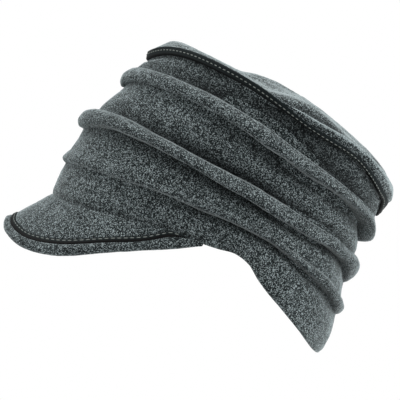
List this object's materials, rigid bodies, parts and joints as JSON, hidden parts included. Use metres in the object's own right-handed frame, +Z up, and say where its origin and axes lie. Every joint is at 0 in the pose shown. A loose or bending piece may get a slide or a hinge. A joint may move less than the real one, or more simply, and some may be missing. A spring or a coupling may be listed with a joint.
{
  "type": "fleece cap",
  "caption": "Soft fleece cap: a crown wall gathered in rolled tucks, an oval top bound with stitched tape, a small arched padded peak and a flap that hangs over the nape.",
  "frame": {"origin": "middle of the opening that takes the head, on the cap's middle plane", "axes": "+X to the wearer's left, +Y to the back, +Z up, as the cap sits on a level head; the peak points to -Y"},
  "size_m": [0.1804, 0.2691, 0.216],
  "materials": {
    "crown_fleece": "brushed knit fleece, heathered slate grey, matt with a soft pile",
    "peak_fleece": "brushed knit fleece, heathered slate grey, matt with a soft pile",
    "tape": "woven satin tape, near black, with pale stitches"
  },
  "bodies": {
    "root": {"side_band": "crown_fleece", "top_panel": "crown_fleece", "top_piping": "tape", "peak_upper": "peak_fleece", "peak_piping": "tape", "peak_under": "peak_fleece"}
  },
  "joints": []
}
